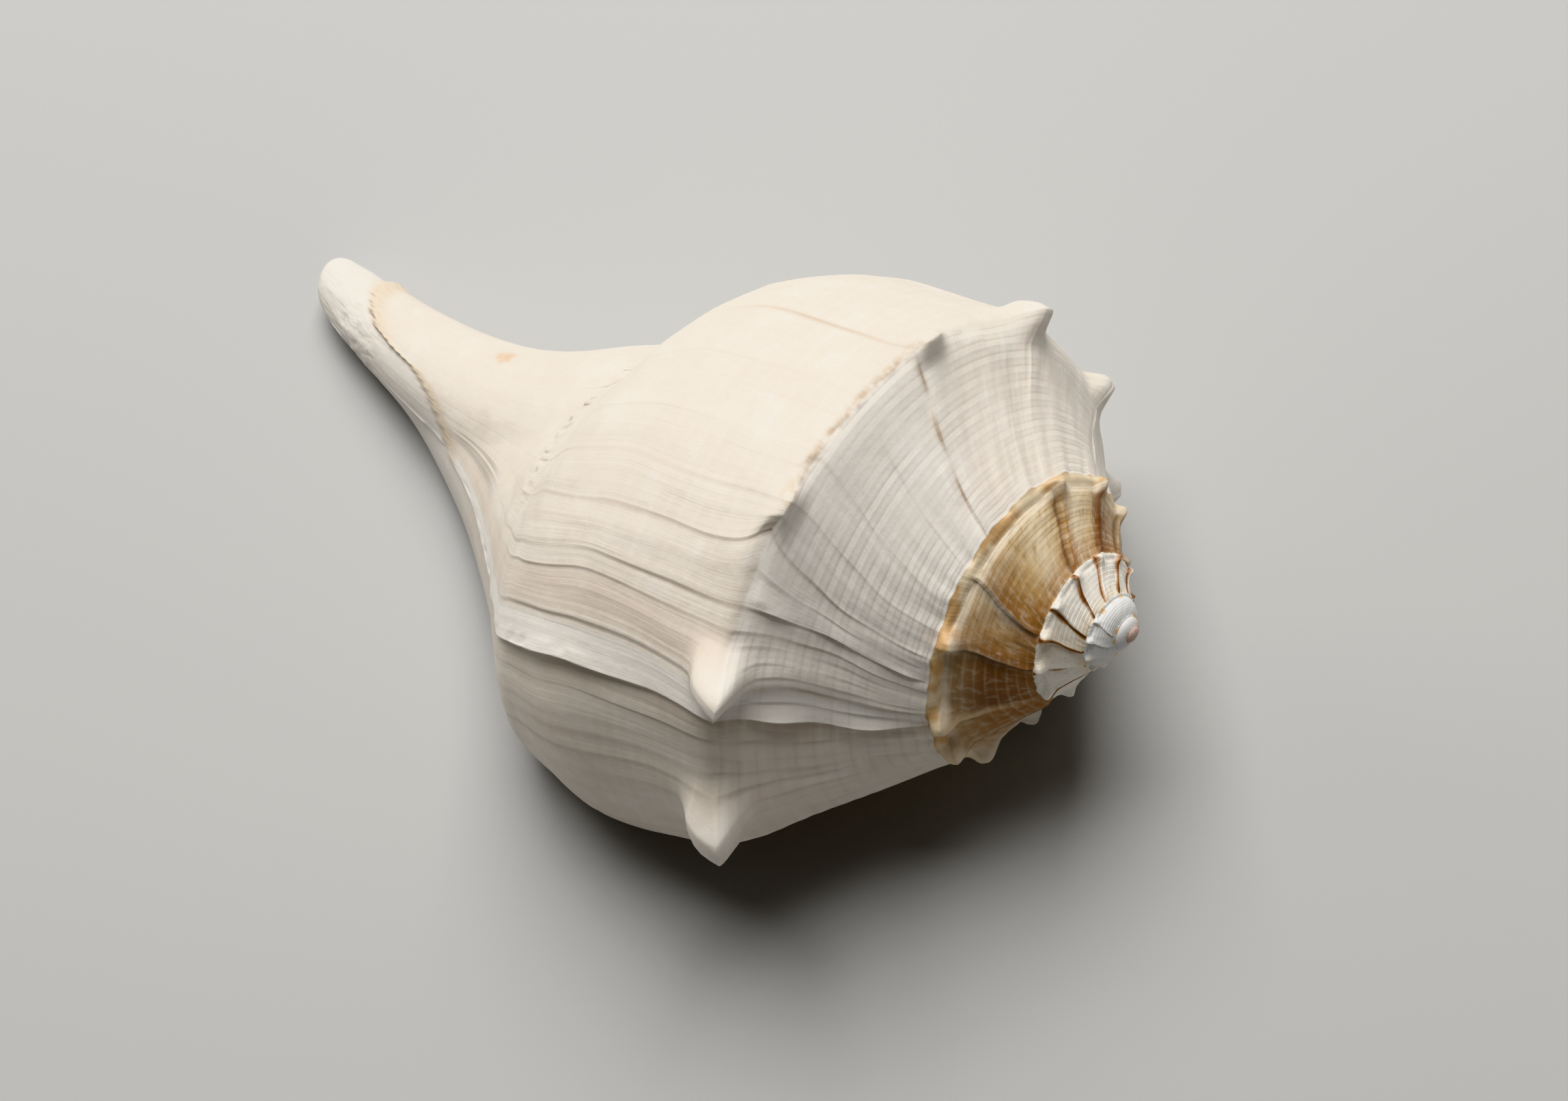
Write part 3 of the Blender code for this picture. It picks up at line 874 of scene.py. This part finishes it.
class Value:
    """A node's output that can be used in plain sums."""

    def __init__(self, nodes, socket):
        self.nodes = nodes
        self.socket = socket

    def _math(self, operation, *others):
        return self.nodes.math(operation, self, *others)

    def __add__(self, other):
        return self._math("ADD", other)

    def __radd__(self, other):
        return self._math("ADD", other)

    def __sub__(self, other):
        return self._math("SUBTRACT", other)

    def __rsub__(self, other):
        return self.nodes.math("SUBTRACT", other, self)

    def __mul__(self, other):
        return self._math("MULTIPLY", other)

    def __rmul__(self, other):
        return self._math("MULTIPLY", other)

    def __truediv__(self, other):
        return self._math("DIVIDE", other)

    def __rtruediv__(self, other):
        return self.nodes.math("DIVIDE", other, self)

    def __pow__(self, other):
        return self._math("POWER", other)

    def __neg__(self):
        return self._math("MULTIPLY", -1.0)

    def sine(self):
        return self._math("SINE")

    def size(self):
        return self._math("ABSOLUTE")


class Nodes:
    """A node tree that is written as plain sums."""

    def __init__(self, tree):
        self.tree = tree

    def link(self, value, target):
        if isinstance(value, Value):
            self.tree.links.new(value.socket, target)
        else:
            target.default_value = value

    def node(self, kind, settings=None, inputs=None, output=0):
        made = self.tree.nodes.new(kind)
        for key, value in (settings or {}).items():
            setattr(made, key, value)
        for key, value in (inputs or {}).items():
            self.link(value, made.inputs[key])
        return Value(self, made.outputs[output])

    def math(self, operation, *values):
        made = self.tree.nodes.new("ShaderNodeMath")
        made.operation = operation
        for i, value in enumerate(values):
            self.link(value, made.inputs[i])
        return Value(self, made.outputs[0])

    def point_attribute(self, name):
        return self.node("GeometryNodeInputNamedAttribute", {"data_type": "FLOAT"}, {"Name": name})


class Paint(Nodes):
    """One material's node tree."""

    def __init__(self, name):
        self.material = bpy.data.materials.new(name)
        self.material.use_nodes = True
        super().__init__(self.material.node_tree)
        self.shader = self.tree.nodes["Principled BSDF"]

    def mix(self, first, second, share):
        """Blend of two colours, each a value or a name from COLOURS."""
        settings = {"data_type": "RGBA", "blend_type": "MIX"}
        inputs = {0: share, 6: tone(first), 7: tone(second)}
        return self.node("ShaderNodeMix", settings, inputs, 2)

    def vector(self, x, y, z):
        return self.node("ShaderNodeCombineXYZ", None, {0: x, 1: y, 2: z})

    def noise(self, vector, scale, detail=2.0, rough=0.5):
        inputs = {"Vector": vector, "Scale": scale, "Detail": detail, "Roughness": rough}
        return self.node("ShaderNodeTexNoise", None, inputs)

    def rise(self, value, low, high):
        """Smooth step of a value from 0 at the first bound to 1 at the other."""
        settings = {"interpolation_type": "SMOOTHSTEP"}
        return self.node("ShaderNodeMapRange", settings, {0: value, 1: low, 2: high})

    def fall(self, value, low, high):
        return 1.0 - self.rise(value, low, high)

    def window(self, value, start, full, fade, end):
        """Rises from start to full and falls again from fade to end."""
        return self.rise(value, start, full) * self.fall(value, fade, end)

    def stripe(self, value, middle, core, reach):
        """Full within the core on each side of the middle value, gone at the reach."""
        return self.fall((value - middle).size(), core, reach)

    def ramp(self, value, stops):
        made = self.tree.nodes.new("ShaderNodeValToRGB")
        ramp = made.color_ramp
        while len(ramp.elements) < len(stops):
            ramp.elements.new(0.5)
        for element, (place, shade) in zip(ramp.elements, stops):
            element.position = place
            element.color = (*shade, 1.0)
        self.link(value, made.inputs[0])
        return Value(self, made.outputs[0])

    def bump(self, height, strength, distance):
        inputs = {"Strength": strength, "Distance": distance, "Height": height}
        return self.node("ShaderNodeBump", None, inputs)


def tone(colour):
    """A named colour as red, green, blue and alpha; anything else as it is."""
    return (*COLOURS[colour], 1.0) if isinstance(colour, str) else colour


class ShellPaint(Paint):
    """The shell's finish, by growth angle, by place along the profile and by place in the shell."""

    def __init__(self, name):
        super().__init__(name)
        growth = self.node("ShaderNodeUVMap", {"uv_map": "growth"})
        split = self.tree.nodes.new("ShaderNodeSeparateXYZ")
        self.link(growth, split.inputs[0])
        self.turn = Value(self, split.outputs[0])
        self.share = Value(self, split.outputs[1])
        self.column = self.turn * 360.0
        self.stain_and_shade = self.node("ShaderNodeAttribute", {"attribute_name": "stain_and_shade"}, None, 2)
        self.rubbed = self.node("ShaderNodeAttribute", {"attribute_name": "pale"}, None, 2)
        self.place = self.node("ShaderNodeTexCoord", None, None, 3)
        self.set_masks()
        self.set_grain()
        self.set_threads()

    def set_masks(self):
        """Parts of the shell, by turn and by place along the profile."""
        self.golden = self.window(self.turn, -1.62, -1.42, -0.74, -0.58)
        self.early = self.fall(self.turn, -1.62, -1.42)
        self.oldest = self.fall(self.turn, -2.85, -2.62)
        self.apex = self.fall(self.turn, -4.6, -4.1)
        self.on_ramp = self.fall(self.share, 0.97, 1.01)
        self.near_keel = self.window(self.share, 0.84, 0.95, 1.005, 1.02)
        self.inside = self.rise(self.share, 2.4, 2.9)
        self.calm = 1.0 - self.rise(self.share, 1.36, 1.54) * 0.92

    def set_grain(self):
        """Fine growth lines, broad growth bands, patches, specks and worn places."""
        turn, share = self.turn, self.share
        self.lines = self.noise(self.vector(turn * 300.0, share * 2.2, 0.0), 1.0, 4.0, 0.6)
        self.hair = self.noise(self.vector(turn * 1100.0, share * 5.0, 3.0), 1.0, 2.0)
        self.bands = self.noise(self.vector(turn * 46.0, share * 1.1, 7.0), 1.0, 2.0)
        self.streaks = self.noise(self.vector(turn * 110.0, share * 6.0, 11.0), 1.0, 3.0, 0.6)
        self.patches = self.noise(self.place, 38.0, 3.0)
        self.specks = self.noise(self.place, 900.0, 2.0)
        self.chalk = self.noise(self.place, 130.0, 4.0, 0.65)
        self.worn = self.noise(self.place, 420.0, 3.0, 0.6)

    def set_threads(self):
        """Spiral threads and grooves of the ramp, stronger in some places than in others."""
        self.drift = self.noise(self.vector(self.turn * 9.0, self.share * 6.0, 1.0), 1.0) * 1.2
        newest = self.math("GREATER_THAN", self.turn, OLD_TURN)
        wave = self.share ** 0.8 * (newest * 25.1 + 56.6) + self.drift
        self.uneven = self.rise(self.noise(self.place, 90.0, 2.0), 0.36, 0.64)
        groove = ((wave + 3.8).sine() * 0.5 + 0.5) ** 9.0
        thread = (wave.sine() * 0.5 + 0.5) ** 6.0
        self.grooves = groove * self.on_ramp * (self.uneven * 0.8 + 0.2)
        self.threads = thread * self.on_ramp * (self.uneven * 0.7 + 0.3)

    def ivory(self):
        """Chalky ivory with growth bands, brown growth lines and faint threads below the keel."""
        skin = self.mix("ivory", "ivory band", self.bands)
        skin = self.mix(skin, "growth line", self.rise(self.lines, 0.50, 0.78) * self.calm * 0.28)
        skin = self.mix(skin, "warm patch", self.rise(self.patches, 0.52, 0.72) * 0.30)
        skin = self.mix(skin, "chalk", self.rise(self.chalk, 0.50, 0.66) * 0.35)
        skin = self.mix(skin, "worn hollow", self.rise(self.chalk, 0.50, 0.36) * 0.22)
        threads = ((self.share * 330.0 + self.drift * 2.0).sine() * 0.5 + 0.5) ** 3.0
        near_top = self.window(self.share, 1.02, 1.06, 1.16, 1.30)
        return self.mix(skin, "chalk", threads * near_top * 0.16)

    def lip_white_highlight_and_shade(self, skin):
        """The raised old lip is white, partly its own white and partly painted highlight, and the shell just
        past it gets painted shade, as if in the lip's shadow.
        """
        roll = self.window(self.column, 36.0, 37.0, WHITE_LIP - 0.3, WHITE_LIP + 0.1)
        past = self.window(self.column, WHITE_LIP - 0.2, WHITE_LIP + 0.2, 43.5, 52.0)
        # painted highlight on the raised lip, over its own white
        skin = self.mix(skin, "bright ivory", roll * 0.8)
        # painted shade just past the lip, stronger on the ramp
        return self.mix(skin, "painted lip shadow", past * (0.30 + self.on_ramp * 0.35))

    def keel_and_ramp(self, skin):
        """Tan chips along part of the keel, and the paler ramp with its threads; the ramp by the newest
        knobs also gets painted light.
        """
        chipped = self.window(self.column, -42.0, -34.0, 0.0, 8.0)
        keel_line = self.stripe(self.share, 0.994, 0.014, 0.040)
        chips = chipped * keel_line * self.rise(self.worn, 0.36, 0.6)
        skin = self.mix(skin, "keel tan", chips * 0.75)
        skin = self.mix(skin, "ramp", self.on_ramp * 0.25)
        # painted light: the ramp from about -50 to 44 degrees is lightened in colour to make up for the
        # shade the light leaves on it
        front = self.window(self.column, -50.0, -30.0, 30.0, 44.0)
        skin = self.mix(skin, "painted ramp light", self.on_ramp * front * 0.38)
        return self.mix(skin, "bright ivory", self.threads * 0.25)

    def scars(self, skin):
        """A small star-shaped scar and a chalky one on the ramp."""
        along = self.column - STAR_SCAR[0]
        up = (self.share - STAR_SCAR[1]) * 57.0
        star = 0.0
        for angle in (0.4, 1.45, 2.5):
            across = (along * float(np.sin(angle)) - up * float(np.cos(angle))).size()
            arm = self.fall(across + (self.worn - 0.5) * 0.8, 0.10, 0.42)
            star = self.math("MAXIMUM", arm, star)
        star = star * self.fall((along * along + up * up) ** 0.5, 1.6, 2.6)
        skin = self.mix(skin, "star scar", star * self.uneven * 0.55)
        ragged = self.column + (self.worn - 0.5) * 3.0
        scar = self.stripe(ragged, CHALK_SCAR, 0.4, 1.3)
        scar = scar * self.window(self.share, 0.22, 0.26, 0.38, 0.42)
        return self.mix(skin, "chalk scar", scar * 0.7)

    def canal_marks(self, skin):
        """Tan along the older canal's edge, bluish beyond it, an orange spot and a grey streak."""
        column, share = self.column, self.share
        stops = [((angle + 140.0) / 200.0, (body_share(edge) - 1.0,) * 3) for angle, edge in OLD_CANAL]
        old_edge = self.ramp(self.turn * 1.8 + 0.7, stops) + 1.0
        ragged = self.noise(self.vector(self.turn * 70.0, share * 30.0, 5.0), 1.0, 3.0)
        past_edge = share - old_edge + (ragged - 0.5) * 0.02
        on_canal = self.window(share, 1.60, 1.66, 2.05, 2.15)
        newer = self.rise(column, WHITE_LIP - 0.2, WHITE_LIP + 0.3)
        fresh = on_canal * (1.0 - (1.0 - newer) * self.fall(past_edge, -0.002, 0.003))
        rim_line = self.stripe(past_edge, -0.010, 0.006, 0.030) * on_canal * (1.0 - newer)
        skin = self.mix(skin, "new canal", fresh * 0.6)
        skin = self.mix(skin, "canal rim", rim_line * 0.5)
        from_spot = ((column - ORANGE_SPOT[0]) / 9.0) ** 2.0 + ((share - ORANGE_SPOT[1]) / 0.016) ** 2.0
        spot = self.fall(from_spot + (self.worn - 0.5) * 3.0, -0.4, 1.4)
        skin = self.mix(skin, "orange spot", spot * 0.6)
        streak = self.stripe(column, GREY_STREAK[0], 3.0, 8.0)
        streak = streak * self.stripe(share, GREY_STREAK[1], 0.03, 0.08)
        return self.mix(skin, "grey streak", streak * self.rise(self.lines, 0.40, 0.55) * 0.8)

    def body(self):
        """The last turn with all its marks, and knobs rubbed pale."""
        skin = self.lip_white_highlight_and_shade(self.ivory())
        skin = self.scars(self.keel_and_ramp(skin))
        skin = self.mix(skin, "groove", self.grooves * 0.14)
        pink = self.window(self.column, 26.6, 27.6, 33.4, 34.8)
        skin = self.mix(skin, "pink band", pink * (0.35 - self.on_ramp * 0.25))
        skin = self.canal_marks(skin)
        # brown growth lines, plus painted shade on the ramp just past the old lips
        skin = self.mix(skin, "body lines and painted shade", self.stain_and_shade * self.calm * (self.on_ramp * 0.12 + 0.46))
        return self.mix(skin, "rubbed knob", self.rise(self.rubbed, 0.10, 0.8) * 0.5)

    def golden_turn(self):
        """Gold and rust brown turn with dark folds, pale threads and a cream keel."""
        first, last = GOLD_TONES[0][0], GOLD_TONES[-1][0]
        stops = [((angle - first) / (last - first), shade) for angle, shade in GOLD_TONES]
        along = self.node("ShaderNodeMapRange", None, {0: self.turn, 1: first / 360.0, 2: last / 360.0})
        skin = self.ramp(along, stops)
        skin = self.mix(skin, "inner rust", self.fall(self.share, 0.02, 0.45) * 0.62)
        skin = self.mix(skin, "outer gold", self.rise(self.share, 0.45, 0.85) * 0.35)
        skin = self.mix(skin, "gold groove", self.grooves * 0.32)
        skin = self.mix(skin, "gold thread", self.threads * 0.26)
        skin = self.mix(skin, "pale streak", self.fall(self.streaks, 0.34, 0.52) * 0.28)
        skin = self.mix(skin, "dark streak", self.rise(self.streaks, 0.54, 0.72) * 0.35)
        skin = self.mix(skin, "fold brown", self.stain_and_shade * 0.75)
        crumbly = self.rise(self.noise(self.place, 260.0, 3.0), 0.30, 0.62)
        skin = self.mix(skin, "keel cream", self.near_keel * (0.25 + crumbly * 0.6))
        band = self.rise(self.share, 0.99, 1.01)
        skin = self.mix(skin, "keel band", band * 0.85)
        rusty = self.rise(self.noise(self.place, 120.0, 3.0), 0.50, 0.62)
        skin = self.mix(skin, "keel rust", band * rusty * 0.7)
        at_suture = self.rise(self.share, 1.034, 1.05)
        return self.mix(skin, "suture brown", at_suture * (0.65 - crumbly * 0.5))

    def early_turns(self):
        """White turn with rust brown folds, blue-white turn with orange flecks, and the pink tip."""
        rust = self.rise(self.streaks, 0.50, 0.68)
        skin = self.mix("third turn", "third rust", rust * 0.36)
        skin = self.mix(skin, "third suture", self.rise(self.share, 0.35, 0.02) * 0.35)
        skin = self.mix(skin, "third patch", self.rise(self.patches, 0.46, 0.62) * 0.35)
        skin = self.mix(skin, "rust halo", self.rise(self.stain_and_shade, 0.05, 0.5) * 0.8)
        fold = self.rise(self.stain_and_shade, 0.45, 0.95) * (1.0 - self.near_keel * 0.4)
        skin = self.mix(skin, "fold line", fold)
        white = self.mix("blue white", "amber line", self.stain_and_shade * rust)
        flecks = self.rise(self.noise(self.place, 520.0, 2.0), 0.52, 0.66)
        flecks = flecks * self.rise((self.share - 0.5).size(), 0.30, 0.52)
        white = self.mix(white, "orange fleck", flecks * 0.85)
        white = self.mix(white, "white thread", self.threads * 0.4)
        skin = self.mix(skin, white, self.oldest)
        return self.mix(skin, "pink tip", self.apex)

    def mouth(self):
        return self.mix("mouth cream", "mouth peach", self.rise(self.bands, 0.4, 0.7))

    def surface(self):
        """Height of the finest threads, growth lines, specks and chalk, for the bump."""
        lines = (self.lines * (0.45 - self.on_ramp * 0.2) + self.hair * 0.05) * self.calm
        height = self.threads * 0.14 - self.grooves * 0.16 + lines
        return height + self.specks * 0.06 + self.worn * 0.22 + self.chalk * 0.5


def shell_material():
    """The finish of the whole shell: body, golden turn, early turns and inside."""
    paint = ShellPaint("shell_ivory")
    skin = paint.mix(paint.body(), paint.golden_turn(), paint.golden)
    skin = paint.mix(skin, paint.early_turns(), paint.early)
    skin = paint.mix(skin, paint.mouth(), paint.inside)
    rough = 0.40 + paint.rise(paint.specks, 0.3, 0.7) * 0.10 + paint.lines * 0.12 - paint.inside * 0.22
    sockets = paint.shader.inputs
    paint.link(skin, sockets["Base Color"])
    paint.link(rough, sockets["Roughness"])
    paint.link(paint.bump(paint.surface(), 0.5, 0.0005), sockets["Normal"])
    sockets["IOR"].default_value = 1.5
    sockets["Subsurface Weight"].default_value = 0.10
    sockets["Subsurface Radius"].default_value = (0.9, 0.6, 0.4)
    sockets["Subsurface Scale"].default_value = 0.0025
    return paint.material


def make_floor():
    """Plain pale floor."""
    mesh = bpy.data.meshes.new("floor")
    reach = 3.0
    corners = [(-reach, -reach, 0), (reach, -reach, 0), (reach, reach, 0), (-reach, reach, 0)]
    mesh.from_pydata(corners, [], [(0, 1, 2, 3)])
    floor = bpy.data.objects.new("floor", mesh)
    bpy.context.scene.collection.objects.link(floor)
    paint = Paint("floor_pale")
    paint.shader.inputs["Base Color"].default_value = (0.46, 0.46, 0.455, 1.0)
    paint.shader.inputs["Roughness"].default_value = 0.9
    mesh.materials.append(paint.material)


def make_light(name, place, target, width, height, watts, tint):
    data = bpy.data.lights.new(name, "AREA")
    data.shape = "RECTANGLE"
    data.size = width
    data.size_y = height
    data.energy = watts
    data.color = tint
    light = bpy.data.objects.new(name, data)
    light.location = place
    aim = Vector(target) - Vector(place)
    light.rotation_euler = aim.to_track_quat("-Z", "Y").to_euler()
    bpy.context.scene.collection.objects.link(light)


def make_lights():
    """A large soft key light from above and behind, a weak one from the canal's side, and a dim world."""
    middle = (0.0, 0.0, 0.03)
    make_light("key", (-0.246, 0.503, 1.092), middle, 0.9, 0.9, 21.8, (1.0, 0.985, 0.96))
    make_light("low_side", (-1.1, 0.25, 0.45), middle, 0.5, 0.5, 2.0, (1.0, 0.98, 0.95))
    world = bpy.data.worlds.new("studio")
    world.use_nodes = True
    world.node_tree.nodes["Background"].inputs[0].default_value = (1.0, 0.98, 0.95, 1.0)
    world.node_tree.nodes["Background"].inputs[1].default_value = 0.12
    bpy.context.scene.world = world
    bpy.context.scene.view_settings.view_transform = "Khronos PBR Neutral"


def make_camera():
    data = bpy.data.cameras.new("camera")
    data.sensor_width = 36.0
    data.lens = CAMERA_LENS
    camera = bpy.data.objects.new("camera", data)
    camera.location = CAMERA_PLACE
    camera.rotation_euler = Euler([radians(a) for a in CAMERA_TURN], "XYZ")
    bpy.context.scene.collection.objects.link(camera)
    bpy.context.scene.camera = camera


make_camera()
make_lights()
make_floor()
shell = make_shell()
add_fine_relief(shell, shell_material())
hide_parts("whelk_shell")
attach(shell, "root")
